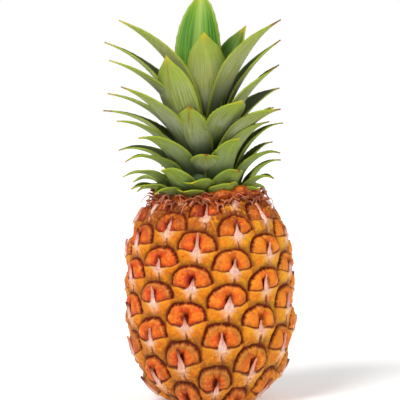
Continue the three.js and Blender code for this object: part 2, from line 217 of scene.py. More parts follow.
def bract_relief(which, across, up):
    """How far an eye's bract stands out below its line: highest in the middle, creased, falling away."""
    crest = 2.9 * (1 - 0.72 * np.minimum(np.abs(across), 1.1) ** 2.6)
    height = (crest + 0.6) * np.exp(np.minimum(up, 0) / 0.24) - 0.6
    height += 0.6 * bump_over(across, up, (-0.42, -0.2), (0.2, 0.12))
    height += 0.6 * bump_over(across, up, (0.42, -0.2), (0.2, 0.12))
    height -= 0.45 * near_crease(across, up, (-0.1, -0.05), (-0.5, -0.42), 0.045)
    height -= 0.45 * near_crease(across, up, (0.1, -0.05), (0.5, -0.42), 0.045)
    height -= 0.8 * np.exp(-(((across - eye_sway[which] * 0.5) / 0.05) ** 2)) * np.clip(-up / 0.1, 0, 1)
    height -= 7.0 * np.maximum(np.abs(across) - 1.0, 0)
    return np.where(up > 0, height - 60 * up, height)


def skin_relief(azimuth, length):
    """How far points of the skin stand out, the eye that each is on, and how far off a groove is."""
    flat = skin_place(azimuth, length, 0.0)
    size = len(azimuth)
    height = np.full(size, -far_off)
    owner = np.full(size, 0)
    in_dome = np.zeros(size, bool)
    groove = np.full(size, far_off)
    outer_groove = np.full(size, far_off)
    for which, count in enumerate(eye_counts):
        turn = turned_from(azimuth, azimuth_of(count))
        close = np.abs(turn) < math.radians(half_column) * 1.75
        close &= np.abs(length - eye_arc[which]) < eye_pitch_up[which] * 1.1
        near = np.flatnonzero(close)
        if not len(near):
            continue
        across, up = on_eye(which, azimuth[near], length[near])
        reach = arch_reach(across, up)
        beyond_end = np.hypot((np.abs(across) - 1) * half_column_mm, up * pitch_mm)
        distance = np.where(up > 0, np.abs(reach - 1) * half_column_mm, beyond_end)
        groove[near] = np.minimum(groove[near], distance)
        dome = (up > 0) & (reach < 1)
        outer_groove[near] = np.minimum(outer_groove[near], np.where(dome, far_off, distance))
        mine = near[dome]
        in_dome[mine] = True
        owner[mine] = which
        height[mine] = dome_relief(which, across[dome], up[dome]) * eye_relief[which]
        slope = bract_relief(which, across, up) * eye_relief[which]
        better = (slope > height[near]) & ~in_dome[near] & (up < 0.05) & (np.abs(across) < 1.5)
        mine = near[better]
        owner[mine] = which
        height[mine] = slope[better]
    plunge = np.where(in_dome, 0, np.exp(-((outer_groove / groove_width) ** 2)))
    height = height * (1 - plunge) - groove_depth * plunge
    height += 0.16 * ripple(flat, 3.2, 21) + 0.1 * ripple(flat, 1.8, 22)
    return np.maximum(height, deepest), owner, groove


def flat_sheet(columns, rows):
    """A flat sheet, with its points' places across it (-1 to 1) and along it (0 to 1)."""
    bpy.ops.mesh.primitive_grid_add(x_subdivisions=columns, y_subdivisions=rows, size=2)
    sheet = bpy.context.object
    places = np.empty(len(sheet.data.vertices) * 3)
    sheet.data.vertices.foreach_get("co", places)
    return sheet, places[0::3], (places[1::3] + 1) / 2


# A flat sheet is wrapped round the outline, from the flat spot up to the shelf of the neck
fruit, skin_across, skin_along = flat_sheet(skin_columns, skin_rows)
fruit.name = "fruit_skin"
fruit_mesh = fruit.data
lowest_length = np.interp(skin_foot_height, outline_height, outline_length)
highest_length = np.interp(skin_top_height, outline_height, outline_length)
skin_azimuth = skin_across * math.pi
skin_length = lowest_length + (highest_length - lowest_length) * skin_along
relief, owner, groove = skin_relief(skin_azimuth, skin_length)
skin = skin_place(skin_azimuth, skin_length, relief)
skin[:, 2] = skin[:, 2].clip(0.0, shelf_height)
foot_ring = skin_along < 0.00005
skin[foot_ring, 0] = stub_socket_radius * np.sin(skin_azimuth[foot_ring])
skin[foot_ring, 1] = -stub_socket_radius * np.cos(skin_azimuth[foot_ring])
skin[foot_ring, 2] = 0.0
fruit_mesh.vertices.foreach_set("co", (skin / 1000).ravel())

corners = np.empty(len(fruit_mesh.loops), int)
fruit_mesh.loops.foreach_get("vertex_index", corners)
corner_owner = np.repeat(owner[corners.reshape(-1, 4)[:, 0]], 4)
eye_across, eye_up = on_eye(corner_owner, skin_azimuth[corners], skin_length[corners])
eye_luck = (eye_draw[:, 7:9] + 1) / 2
eye_places = np.stack([eye_across, eye_up], axis=-1)
for map_name, places in (("eye", eye_places), ("luck", eye_luck[corner_owner])):
    eye_map = fruit_mesh.uv_layers.new(name=map_name)
    eye_map.data.foreach_set("uv", places.ravel())
for attribute_name, values in (("groove", groove), ("relief", relief)):
    attribute = fruit_mesh.attributes.new(attribute_name, "FLOAT", "POINT")
    attribute.data.foreach_set("value", values)

bpy.ops.object.mode_set(mode="EDIT")
bpy.ops.mesh.select_mode(type="VERT")
bpy.ops.mesh.select_all(action="SELECT")
bpy.ops.mesh.remove_doubles(threshold=0.000001)
bpy.ops.mesh.select_all(action="DESELECT")
bpy.ops.object.mode_set(mode="OBJECT")
for vertex in fruit_mesh.vertices:
    radius = math.hypot(vertex.co.x, vertex.co.y) * 1000
    vertex.select = vertex.co.z < 1e-7 and abs(radius - stub_socket_radius) < 0.001
bpy.ops.object.mode_set(mode="EDIT")
bpy.ops.mesh.extrude_region_move(TRANSFORM_OT_translate={"value": (0, 0, stub_socket_depth / 1000)})
bpy.ops.mesh.edge_face_add()
bpy.ops.mesh.select_all(action="DESELECT")
bpy.ops.mesh.select_non_manifold()
bpy.ops.mesh.edge_face_add()
bpy.ops.mesh.select_all(action="SELECT")
bpy.ops.mesh.normals_make_consistent(inside=False)
bpy.ops.object.mode_set(mode="OBJECT")
bpy.ops.object.shade_smooth()
fruit.select_set(False)


class Field:
    """A socket of a material, so that sums of sockets and numbers read as arithmetic."""

    def __init__(self, tree, socket=None):
        self.tree = tree
        self.socket = socket

    def node(self, kind, settings=None, inputs=None, output=0):
        """Any node: its settings first, such as an operation, then the values or links of its inputs."""
        made = self.tree.nodes.new(kind)
        for name, value in (settings or {}).items():
            setattr(made, name, value)
        for name, value in (inputs or {}).items():
            if isinstance(value, Field):
                self.tree.links.new(value.socket, made.inputs[name])
            else:
                made.inputs[name].default_value = value
        return Field(self.tree, made.outputs[output])

    def math(self, operation, *others):
        inputs = {place: value for place, value in enumerate((self, *others))}
        return self.node("ShaderNodeMath", {"operation": operation}, inputs)

    def __add__(self, other):
        return self.math("ADD", other)

    def __mul__(self, other):
        return self.math("MULTIPLY", other)

    def __sub__(self, other):
        return self.math("SUBTRACT", other)

    def __truediv__(self, other):
        return self.math("DIVIDE", other)

    def __pow__(self, other):
        return self.math("POWER", other)

    def __neg__(self):
        return self * -1.0

    def __rsub__(self, other):
        return -self + other

    __radd__ = __add__
    __rmul__ = __mul__

    def __abs__(self):
        return self.math("ABSOLUTE")

    def rise(self, low, high):
        """0 where this is under low, 1 over high, and smooth between; with low over high it falls."""
        settings = {"interpolation_type": "SMOOTHSTEP"}
        if low < high:
            return self.node("ShaderNodeMapRange", settings, {0: self, 1: low, 2: high})
        return 1.0 - self.node("ShaderNodeMapRange", settings, {0: self, 1: high, 2: low})

    def tint(self, under, over):
        """The colour under where this mask is 0 and the colour over where it is 1."""
        inputs = {0: self}
        for place, colour in ((6, under), (7, over)):
            inputs[place] = colour if isinstance(colour, Field) else (*colour, 1.0)
        return self.node("ShaderNodeMix", {"data_type": "RGBA"}, inputs, 2)

    def noise(self, place, scale, detail=3.0, rough=0.55):
        """Cloudy noise from 0 to 1 about 0.5, over a place."""
        inputs = {"Vector": place, "Scale": scale, "Detail": detail, "Roughness": rough}
        return self.node("ShaderNodeTexNoise", {}, inputs)

    def place(self):
        """The place on the object, in metres."""
        return self.node("ShaderNodeTexCoord", {}, {}, 3)

    def uv_map(self, name):
        return self.node("ShaderNodeUVMap", {"uv_map": name})

    def parts(self):
        """The three numbers of a vector."""
        split = self.node("ShaderNodeSeparateXYZ", {}, {0: self}).socket.node
        return [Field(self.tree, number) for number in split.outputs]

    def from_axis(self):
        """How far a place is from the upright axis."""
        x, y, _ = self.parts()
        return (x * x + y * y) ** 0.5

    def vector(self, x, y, z):
        return self.node("ShaderNodeCombineXYZ", {}, {0: x, 1: y, 2: z})

    def attribute(self, name):
        return self.node("ShaderNodeAttribute", {"attribute_name": name}, {}, 2)

    def bump(self, height, strength, distance):
        inputs = {"Strength": strength, "Distance": distance, "Height": height}
        return self.node("ShaderNodeBump", {}, inputs)


def new_material(name):
    """A material with its Principled shader, and a field to build on."""
    material = bpy.data.materials.new(name)
    material.use_nodes = True
    shader = material.node_tree.nodes["Principled BSDF"]
    return material, shader, Field(material.node_tree)


def connect(shader, **inputs):
    """Links fields to the shader's inputs, and sets the others; a name's underscores stand for spaces."""
    for name, value in inputs.items():
        shader_input = shader.inputs[name.replace("_", " ")]
        if isinstance(value, Field):
            value.tree.links.new(value.socket, shader_input)
        else:
            shader_input.default_value = value


def paint(red, green, blue):
    """The linear colour of a paint, from its tones between 0 and 255."""
    return tuple((tone / 255) ** 2.2 for tone in (red, green, blue))


def rays(field, across, up, spread, drift, luck):
    """Streaks that run out from the point where across and up are zero."""
    reach = (across * across + up * up + 0.3) ** 0.5
    course = field.vector(across / reach * spread, up / reach * spread, reach * drift + luck * 9)
    return field.noise(course, 1.0, 4.0, 0.6)


rind, rind_shader, field = new_material("rind")
eye_x, eye_v, _ = field.uv_map("eye").parts()
luck_one, luck_two, _ = field.uv_map("luck").parts()
groove_mm = field.attribute("groove")
relief_mm = field.attribute("relief")
place = field.place()
place_x, _, place_z = place.parts()
aside = abs(eye_x)
across_mm = eye_x * half_column_mm
up_mm = eye_v * pitch_mm
cloud = field.noise(place, 170, 3)
mottle = field.noise(place, 520, 4)
grain = field.noise(place, 2300, 2)
dome_rays = rays(field, across_mm, up_mm - 4.0, 6.5, 0.2, luck_one)
bract_rays = rays(field, across_mm, up_mm - 2.5, 9.0, 0.13, luck_two)
sunny_side = place_x.rise(-0.02, 0.055)
low_down = place_z.rise(0.062, 0.014)
near_top = place_z.rise(0.112, 0.136)

# The domes: orange with yellower clouds, streaked from the pit and redder in the middle, with painted
# highlight on the lobes and by the groove, and painted shade along the line and in the pit
orange = luck_one.rise(0.1, 0.9).tint(paint(228, 64, 2), paint(232, 88, 4))
dome = cloud.rise(0.4, 0.6).tint(orange, paint(226, 108, 8))
# Painted highlight: the crowns of the two side lobes are lighter and yellower
lobe_highlight = (abs(aside - 0.5) * 2.2 + abs(eye_v - 0.2) * 3.4).rise(0.95, 0.2)
dome = (lobe_highlight * (mottle + luck_two * 0.3).rise(0.4, 0.75) * 0.85).tint(dome, paint(250, 138, 30))
red_side = (eye_x * (luck_two - 0.5) * 4).rise(0.2, 1.0) * cloud.rise(0.35, 0.55)
dome = (red_side * 0.7).tint(dome, paint(230, 78, 10))
dome = (dome_rays.rise(0.5, 0.62) * 0.75).tint(dome, paint(186, 56, 6))
patch = field.noise(place, 290, 2)
dome = (patch.rise(0.5, 0.64) * 0.75).tint(dome, paint(248, 142, 32))
dome = (patch.rise(0.46, 0.34) * 0.6).tint(dome, paint(208, 66, 6))
dome = (mottle.rise(0.56, 0.72) * 0.5).tint(dome, paint(242, 112, 24))
red_middle = aside.rise(0.8, 0.12) * eye_v.rise(0.62, 0.25) * (dome_rays + mottle).rise(0.85, 1.15)
dome = (red_middle * 0.85).tint(dome, paint(220, 40, 2))
# Painted shade: the foot of each dome, along the line, is darker red
dome_foot_shade = eye_v.rise(0.16, 0.02) * mottle.rise(0.3, 0.6)
dome = (dome_foot_shade * 0.85).tint(dome, paint(180, 40, 4))
dull = (groove_mm + (dome_rays - 0.5) * 4).rise(5.4, 1.8)
dull = dull * (cloud + (luck_two - 0.5) * 0.3).rise(0.66, 0.42)
dome = (dull * (place_z.rise(0.1, 0.04) * 0.35 + 0.5)).tint(dome, paint(160, 104, 38))
# Painted highlight: a pale band just inside the groove, where the dome rounds over
groove_edge_highlight = abs(groove_mm - 1.7).rise(0.7, 0.2) * (dome_rays + mottle).rise(0.85, 1.15)
dome = (groove_edge_highlight * 0.6).tint(dome, paint(240, 156, 74))
dome = (sunny_side * cloud.rise(0.3, 0.6) * 0.75).tint(dome, paint(240, 144, 18))
dome = ((dome_rays + grain).rise(1.08, 1.3) * 0.5).tint(dome, paint(252, 174, 84))
# Painted shade: the hollow of the pit behind the tip is dark red
pit = aside.rise(0.34, 0.06) * eye_v.rise(0.04, 0.12) * eye_v.rise(0.5, 0.28) * mottle.rise(0.28, 0.5)
dome = (pit * 0.9).tint(dome, paint(112, 8, 0))

# The bracts: streaked yellow, pale along their wings, bleached under the tip, with a brown crease; a painted
# highlight along their edge, and painted shade at their ends and above the groove below
bract = bract_rays.rise(0.34, 0.58).tint(paint(192, 92, 2), paint(238, 144, 8))
bract = (cloud.rise(0.42, 0.62) * 0.6).tint(bract, paint(228, 114, 8))
bract = (bract_rays.rise(0.56, 0.7) * mottle.rise(0.4, 0.6) * 0.75).tint(bract, paint(148, 92, 8))
bract = (sunny_side * cloud.rise(0.65, 0.4) * 0.75).tint(bract, paint(236, 172, 24))
# Painted highlight: a pale band along the bract's upper edge
upper_edge_highlight = eye_v.rise(-0.13, -0.03) * mottle.rise(0.25, 0.6)
bract = (upper_edge_highlight * 0.75).tint(bract, paint(248, 168, 46))
bleached = (aside * 0.9 + eye_v * -1.0 + (bract_rays - 0.5) * 0.5).rise(0.56, 0.14)
bract = (bleached * 0.85).tint(bract, paint(250, 196, 150))
flushed = (aside * 1.4 + abs(eye_v + 0.05) * 2.4).rise(0.5, 0.15) * mottle.rise(0.4, 0.6)
bract = (flushed * 0.6).tint(bract, paint(226, 158, 150))
beside_crease = aside.rise(0.36, 0.08) * eye_v.rise(-0.14, -0.3) * mottle.rise(0.35, 0.6)
bract = (beside_crease * 0.8).tint(bract, paint(202, 88, 12))
crease_course = abs(eye_x + (mottle - 0.5) * 0.14 - (luck_one - 0.5) * 0.08)
crease = crease_course.rise(0.08, 0.015) * eye_v.rise(-0.1, -0.22)
bract = (crease * luck_two.rise(-0.2, 0.6)).tint(bract, paint(120, 52, 6))
wing = (aside + (mottle - 0.5) * 0.2).rise(0.68, 0.98)
bract = (wing * 0.92).tint(bract, cloud.rise(0.4, 0.6).tint(paint(230, 126, 26), paint(226, 140, 18)))
# Painted shade: the valley where neighbouring bracts meet is darker
seam_shade = (aside + (mottle - 0.5) * 0.1).rise(0.93, 1.02) * eye_v.rise(-0.02, -0.1)
bract = (seam_shade * 0.6).tint(bract, paint(160, 84, 20))
# Painted shade: the bract's foot, where it slopes into the groove of the eye below, is darker olive brown
shade_above_groove = groove_mm.rise(5.2, 1.2) * (mottle.rise(0.3, 0.6) * 0.6 + 0.4) * eye_v.rise(-0.16, -0.34)
bract = (shade_above_groove * 0.8).tint(bract, paint(124, 82, 14))

# The grooves, painted shade along the dark line under the domes and in the low places, and over the whole
# fruit, browner low down, darker red near the top, and specks
is_dome = eye_v.rise(-0.008, 0.012)
colour = is_dome.tint(bract, dome)
# Painted shade: a thin dark line along the dip between bract and domes
line_shade = abs(eye_v - 0.006 + (mottle - 0.5) * 0.02).rise(0.034, 0.006) * aside.rise(0.1, 0.3)
colour = (line_shade * 0.85).tint(colour, paint(110, 26, 3))
ragged = groove_mm + (mottle - 0.5) * 0.8 + (grain - 0.5) * 0.5 + (dome_rays - 0.5) * is_dome * 3
colour = (ragged.rise(1.6, 0.6) * 0.65).tint(colour, paint(146, 58, 10))
colour = ragged.rise(0.8, 0.3).tint(colour, paint(84, 14, 2))
# Painted shade: the low places of the relief are darker red brown
colour = (relief_mm.rise(0.1, -1.6) * 0.6).tint(colour, paint(116, 42, 6))
# Darker and browner towards the bottom, and darker red near the top
colour = (low_down * mottle.rise(0.35, 0.7) * 0.55).tint(colour, paint(112, 76, 34))
colour = (near_top * (mottle + cloud).rise(0.8, 1.1) * 0.8).tint(colour, paint(122, 40, 20))
speck = field.noise(place, 900, 1).rise(0.7, 0.76)
colour = (speck * 0.7).tint(colour, paint(116, 54, 8))
relief_field = dome_rays * is_dome * 0.4 + bract_rays * (1 - is_dome) * 0.6 + mottle * 0.5 + grain * 0.25
bump = field.bump(relief_field - crease * 0.4, 0.9, 0.001)
roughness = mottle * 0.3 + 0.24 + (1 - is_dome) * 0.12 + ragged.rise(1.4, 0.5) * 0.3
connect(rind_shader, Base_Color=colour, Normal=bump, Roughness=roughness, Specular_IOR_Level=0.22)
fruit_mesh.materials.append(rind)
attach(fruit, "root")
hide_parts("fruit")


# The stub of the stalk sits in the middle of the flat spot, where the fruit was cut off. Its cut face has
# dried to a pale brown, with the ends of its fibres in a soft pith inside a darker ring of rind.
stalk_radius, stalk_height, stalk_sides = 13.0, 14.0, 96
worn_width = 0.7
bpy.ops.mesh.primitive_cylinder_add(
    vertices=stalk_sides,
    radius=stalk_radius / 1000,
    depth=stalk_height / 1000,
    location=(0, 0, stalk_height / 2000),
)
stalk = bpy.context.object
stalk.name = "stalk"
bpy.ops.object.transform_apply(location=True)
worn_edge = stalk.modifiers.new("worn_edge", "BEVEL")
worn_edge.width = worn_width / 1000
worn_edge.segments = 3
bpy.ops.object.modifier_apply(modifier=worn_edge.name)
bpy.ops.object.shade_smooth()
stalk.select_set(False)
cut_stalk, stalk_shader, field = new_material("cut_stalk")
place = field.place()
from_axis = place.from_axis()
mottle = field.noise(place, 300, 4)
fibre_ends = field.noise(place, 1400, 2)
colour = mottle.rise(0.35, 0.65).tint(paint(196, 160, 104), paint(222, 190, 134))
colour = (fibre_ends.rise(0.54, 0.66) * 0.8).tint(colour, paint(132, 92, 50))
colour = (from_axis + (mottle - 0.5) * 0.002).rise(0.0108, 0.0122).tint(colour, paint(122, 92, 48))
bump = field.bump(fibre_ends + mottle, 0.7, 0.0006)
connect(stalk_shader, Base_Color=colour, Normal=bump, Roughness=0.85, Specular_IOR_Level=0.2)
stalk.data.materials.append(cut_stalk)
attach(stalk, "root")
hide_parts("stem_stub")


# Every fruitlet's bract ends in a dry papery tip, broad at the bract's edge, which lies on the eye
# between its two domes and points to the top of its arch. It is thin, folded along its middle and
# bleached, and brown at its end.
lowest_tip, highest_tip = -58, 19
tip_foot = -0.16
tip_columns, tip_rows, tip_thickness = 6, 14, 0.35


def placed_copy(sheet, points, luck):
    """A copy of a flat sheet with its points in their places, and two numbers of its own in a map."""
    blade = sheet.copy()
    blade.data = sheet.data.copy()
    blade.data.vertices.foreach_set("co", (points / 1000).ravel())
    luck_map = blade.data.uv_layers.new(name="luck")
    luck_map.data.foreach_set("uv", np.tile(luck, len(luck_map.data)))
    bpy.context.scene.collection.objects.link(blade)
    return blade


def thick_piece(name, blades, thickness, offset, inner_material=0):
    """One piece from thin blades, thickened to closed walls, whose inner faces can have another material."""
    for blade in blades:
        blade.select_set(True)
    piece = blades[0]
    bpy.context.view_layer.objects.active = piece
    bpy.ops.object.join()
    piece.name = name
    walls = piece.modifiers.new("thickness", "SOLIDIFY")
    walls.thickness = thickness / 1000
    walls.offset = offset
    walls.material_offset = inner_material
    bpy.ops.object.modifier_apply(modifier=walls.name)
    bpy.ops.object.shade_smooth()
    piece.select_set(False)
    return piece


tip_sheet, tip_across, tip_along = flat_sheet(tip_columns, tip_rows)
tip_sheet.select_set(False)
papery_tips = []
for count in range(lowest_tip, highest_tip + 1):
    which = count - lowest_eye
    draw = np.random.default_rng(7000 + count)
    lean, bend = draw.uniform(-0.16, 0.16), draw.uniform(-0.12, 0.12)
    reach = draw.uniform(0.24, 0.54)
    swelling = np.interp(tip_along, [0, 0.1, 0.28, 0.5, 0.75, 1], [0.9, 1, 0.86, 0.52, 0.24, 0.04])
    half = draw.uniform(0.15, 0.25) * swelling * (1 + 0.25 * np.sin(tip_along * 9 + count)) + 0.012
    across = eye_sway[which] * 0.6 + lean * tip_along + bend * tip_along**2 + half * tip_across
    up = tip_foot + (reach - tip_foot) * tip_along
    azimuth = azimuth_of(count) + np.radians(half_column * (across * eye_width - eye_shift[which]))
    length = eye_arc[which] + eye_pitch_up[which] * (up * eye_fullness[which] + line_of(which, across))
    rest, _, _ = skin_relief(azimuth, length)
    bridge = np.interp(tip_along, [0, 0.3, 1], [2.2, 2.3, 2.0]) * (1 - 0.35 * np.abs(tip_across))
    bridge = bridge * eye_relief[which]
    folding = np.sin(np.minimum(tip_along * 3, 1) * math.pi / 2)
    fold = draw.uniform(0.5, 0.9) * (1 - np.abs(tip_across)) * folding
    lift = draw.uniform(0.2, 1.6) * tip_along**2.2 + 0.15 * np.sin(tip_along * 12 + count)
    sunk = 0.9 * np.exp(-((tip_along / 0.12) ** 2)) + 0.5 * np.abs(tip_across) ** 3 * (1 - tip_along)
    proud = np.maximum(rest, bridge * np.clip(tip_along / 0.25, 0, 1)) + 0.3 + fold + lift - sunk
    points = skin_place(azimuth, length, np.clip(proud, 0.1, 4.2))
    points[:, 2] = points[:, 2].clip(0.4, None)
    papery_tips.append(placed_copy(tip_sheet, points, [draw.uniform(), draw.uniform()]))
bpy.data.objects.remove(tip_sheet)
tips = thick_piece("papery_tips", papery_tips, tip_thickness, 0)

papery, papery_shader, field = new_material("papery_tip")
blade_place = field.uv_map("UVMap")
blade_x, blade_along, _ = blade_place.parts()
blade_across = abs(blade_x - 0.5) * 2
luck_one, luck_two, _ = field.uv_map("luck").parts()
place = field.place()
mottle = field.noise(place, 600, 3)
fibre_place = field.node("ShaderNodeMapping", {}, {0: blade_place, 3: (9, 0.9, 1)})
fibres = field.noise(fibre_place, 2.2, 3, 0.6)
colour = luck_one.tint(paint(255, 218, 200), paint(242, 186, 154))
colour = (mottle.rise(0.45, 0.62) * 0.6).tint(colour, paint(224, 146, 136))
shaded = blade_across.rise(0.55, 0.05) * blade_along.rise(0.15, 0.35) * blade_along.rise(0.8, 0.5)
colour = (shaded * fibres.rise(0.4, 0.6) * 0.75).tint(colour, paint(158, 104, 116))
colour = (fibres.rise(0.52, 0.66) * 0.6).tint(colour, paint(206, 110, 84))
colour = (blade_across.rise(0.6, 1.0) * blade_along.rise(0.2, 0.4) * 0.6).tint(colour, paint(255, 222, 200))
foot = (blade_along + (mottle - 0.5) * 0.3).rise(0.3, 0.06)
colour = (foot * 0.95).tint(colour, paint(252, 204, 168))
colour = (blade_along.rise(0.4, 0.8) * 0.6).tint(colour, paint(220, 118, 84))
colour = (blade_along.rise(0.62, 0.95) * luck_two.rise(0.35, 0.75)).tint(colour, paint(96, 40, 32))
bump = field.bump(fibres + mottle * 0.4, 0.8, 0.0006)
connect(papery_shader, Base_Color=colour, Normal=bump, Roughness=0.62, Specular_IOR_Level=0.3)
tips.data.materials.append(papery)
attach(tips, "root")


# The crown is a tight rosette of stiff leaves on a short stem that goes on from the fruit. Each leaf is a
# fleshy channel, wrapped round the stem at its base. They follow each other upwards at a fixed turn, from
# short flat ones with hooked tips to tall upright ones.
lowest_leaf, front_leaf = -12, 40
leaf_turn = 137.5
crown_foot = 140.0
crown_rise = 36.0
crown_stem_foot, crown_stem_top = 29.0, 7.0
leaf_rows, leaf_columns, leaf_thickness = 48, 12, 0.9
# The leaves that show from the front, by their count up the stem: how far out the tip is, how high it is,
# how many degrees the leaf is turned from its place in the spiral, how wide it is, how far it bows
# outwards, and how full its outline is towards the tip
seen_leaves = {
    -10: (44, 147, 20, 20, 0.12, 1.4), -7: (40, 147, -8, 25, 0.1, 1.7), -5: (50, 154, 0, 19, 0.2, 1.4),
    -4: (56, 149, 0, 19, 0.16, 1.3), -2: (41, 152, 8, 25, 0.1, 1.7), -1: (62.5, 151.5, 0, 19, 0.2, 1.3),
    0: (53, 165.5, 0, 20, 0.18, 1.3), 1: (52, 162, 0, 24, 0.13, 1.8), 3: (45, 160, -18, 24, 0.13, 1.8),
    4: (59, 156.5, 0, 21, 0.2, 1.4), 5: (51, 178, -20, 20, 0.14, 1.3), 6: (41, 153, -10, 26, 0.1, 1.8),
    8: (52, 171, 0, 23, 0.17, 1.5), 9: (63, 168, -5, 20, 0.2, 1.4), 11: (49, 182.5, 0, 25, 0.1, 1.9),
    12: (66, 174.5, 0, 22, 0.18, 1.5), 13: (59.5, 191, 0, 21, 0.14, 1.3),
    14: (61.5, 184, -24, 27, 0.15, 1.9), 16: (50.5, 193, 0, 24, 0.14, 1.6),
    17: (63, 195.5, 0, 21, 0.15, 1.4), 18: (57, 202, -20, 20, 0.12, 1.3), 19: (42, 172, -8, 24, 0.08, 1.8),
    20: (77, 202.5, 20, 21, 0.16, 1.3), 21: (48, 202.5, 0, 22, 0.12, 1.4), 22: (67, 219, -14, 27, 0.13, 1.7),
    24: (64.5, 201.5, 12, 25, 0.14, 1.6), 25: (69, 214.5, 0, 21, 0.15, 1.3),
    26: (65, 215.5, 0, 21, 0.15, 1.3), 27: (37, 205.5, -5, 31, 0.03, 1.6), 29: (54, 231.5, 0, 26, 0.11, 1.6),
    30: (72, 237, 0, 23, 0.14, 1.4), 32: (50, 208, 10, 28, 0.08, 1.9), 33: (77, 250.5, 4, 24, 0.14, 1.3),
    34: (56, 249, 0, 24, 0.12, 1.3), 35: (45, 239.5, -3, 34, -0.05, 2.0), 36: (16, 287, -8, 34, 0.07, 1.85),
    37: (66, 261.5, 0, 27, 0.14, 1.5), 38: (59.5, 264.5, 5, 34, 0.14, 1.6),
    39: (34, 259.5, -20, 33, 0.07, 1.9), 40: (24, 255, 0, 29, 0.02, 2.2),
}
# How far three of them sway to a side, as a share of their length
leaf_sways = {27: -0.08, 35: -0.035, 36: 0.035}


def blend(start, end, share):
    return start + (end - start) * share


def smooth_share(low, high, value):
    share = min(max((value - low) / (high - low), 0), 1)
    return share * share * (3 - 2 * share)


def leaf_width_share(along, widest, base, full):
    """The width of a leaf along its length, as a share of its greatest width."""
    swell = np.clip(along / widest, 0, 1)
    rising = base + (1 - base) * swell * swell * (3 - 2 * swell)
    fading = 1 - np.clip((along - widest) / (1 - widest), 0, 1) ** full
    return rising * fading * (1 - 0.35 * np.clip((along - 0.86) / 0.14, 0, 1))


def leaf_points(
    across, along, azimuth, foot, tip, bow, hook, width, wrap, widest, base, full, twist, sway, wave, teeth
):
    """Points of a leaf in millimetres, from places across it (-1 to 1) and along it (0 to 1). It bends in
    the upright plane at its azimuth, from foot to tip, each a radius and a height, and hooks down at its
    end."""
    foot, tip = np.array(foot), np.array(tip)
    length = np.linalg.norm(tip - foot)
    lifted_tip = tip + np.array([0.0, hook * length])
    chord = lifted_tip - foot
    control = (foot + lifted_tip) / 2 + 2 * bow * np.array([-chord[1], chord[0]])
    share = along[:, None]
    line = foot * (1 - share) ** 2 + 2 * control * share * (1 - share) + lifted_tip * share**2
    ahead = 2 * (control - foot) * (1 - share) + 2 * (lifted_tip - control) * share
    bent = np.clip((along - 0.75) / 0.25, 0, 1)
    line[:, 1] -= hook * length * bent**2
    ahead[:, 1] -= hook * length * 2 * bent / 0.25
    ahead /= np.linalg.norm(ahead, axis=1)[:, None]
    radial = np.array([math.sin(azimuth), -math.cos(azimuth), 0.0])
    side = np.array([math.cos(azimuth), math.sin(azimuth), 0.0])
    rising = np.array([0.0, 0.0, 1.0])
    middle = line[:, :1] * radial + line[:, 1:] * rising
    inward = -ahead[:, 1:] * radial + ahead[:, :1] * rising
    half = width / 2 * leaf_width_share(along, widest, base, full) + 0.15
    notch = np.abs(across) ** 8 * teeth * (np.round(along * leaf_rows) % 3 == 0)
    half = half + notch * np.clip(along * 4 - 0.8, 0, 1) * np.clip((1 - along) * 8, 0, 1)
    angle = wrap * (1 - 0.6 * along) * np.abs(across) + 1e-6
    sideways = half * across * np.sin(angle) / angle
    depth = half * np.abs(across) * (1 - np.cos(angle)) / angle
    flutter = np.sin(along * 9 + across * 2 + azimuth * 3) * np.clip(along * 3, 0, 1)
    depth += wave * np.abs(across) ** 3 * flutter * (1 - along**4)
    roll = (twist * along**2)[:, None]
    turned_side = side * np.cos(roll) + inward * np.sin(roll)
    turned_in = inward * np.cos(roll) - side * np.sin(roll)
    bend = (sway * length * np.sin(along * math.pi))[:, None]
    return middle + turned_side * sideways[:, None] + side * bend + turned_in * depth[:, None]


def grow_blades(name, columns, rows, thickness, materials, shapes):
    """One piece of leaves or bracts, each from its luck, its age and its shape."""
    sheet, across, along = flat_sheet(columns, rows)
    sheet.select_set(False)
    for material in materials:
        sheet.data.materials.append(material)
    blades = []
    for luck, age, shape in shapes:
        blades.append(placed_copy(sheet, leaf_points(across, along, **shape), [luck, age]))
    bpy.data.objects.remove(sheet)
    return thick_piece(name, blades, thickness, -0.5, len(materials) - 1)


leaf_shapes = []
for count in range(lowest_leaf, front_leaf + 1):
    draw = np.random.default_rng(300 + count)
    up = max(count, 0) / front_leaf
    upright = smooth_share(0.2, 0.8, up)
    by_rule = (
        blend(52, 62, math.sin(up * math.pi)) - 6 * draw.uniform(),
        152 + 112 * up**1.2 - 6 * draw.uniform() + min(count, 0) * 0.4,
        0,
        blend(20, 25, upright),
        blend(0.18, 0.11, upright),
        1.5,
    )
    reach, tip_height, turn, width, bow, full = seen_leaves.get(count, by_rule)
    leaf_shape = dict(
        azimuth=math.radians((front_leaf - count) * leaf_turn + turn),
        foot=(blend(crown_stem_foot, crown_stem_top, up**0.6), crown_foot + crown_rise * up**1.5),
        tip=(reach - 0.6, tip_height - 0.5),
        bow=bow,
        hook=blend(0.07, 0.01, smooth_share(0.05, 0.6, up)) * draw.uniform(0.3, 1.3),
        width=width,
        wrap=blend(1.15, 1.05, upright),
        widest=blend(0.3, 0.56, upright) + 0.08 * (full - 1.6),
        base=blend(0.9, 0.66, upright),
        full=full,
        twist=draw.uniform(-0.3, 0.3),
        sway=leaf_sways.get(count, draw.uniform(-0.025, 0.025)),
        wave=draw.uniform(0.3, 0.9),
        teeth=draw.uniform(0.0, 0.5),
    )
    leaf_shapes.append((draw.uniform(), 1 - up, leaf_shape))
heart_leaves = 4
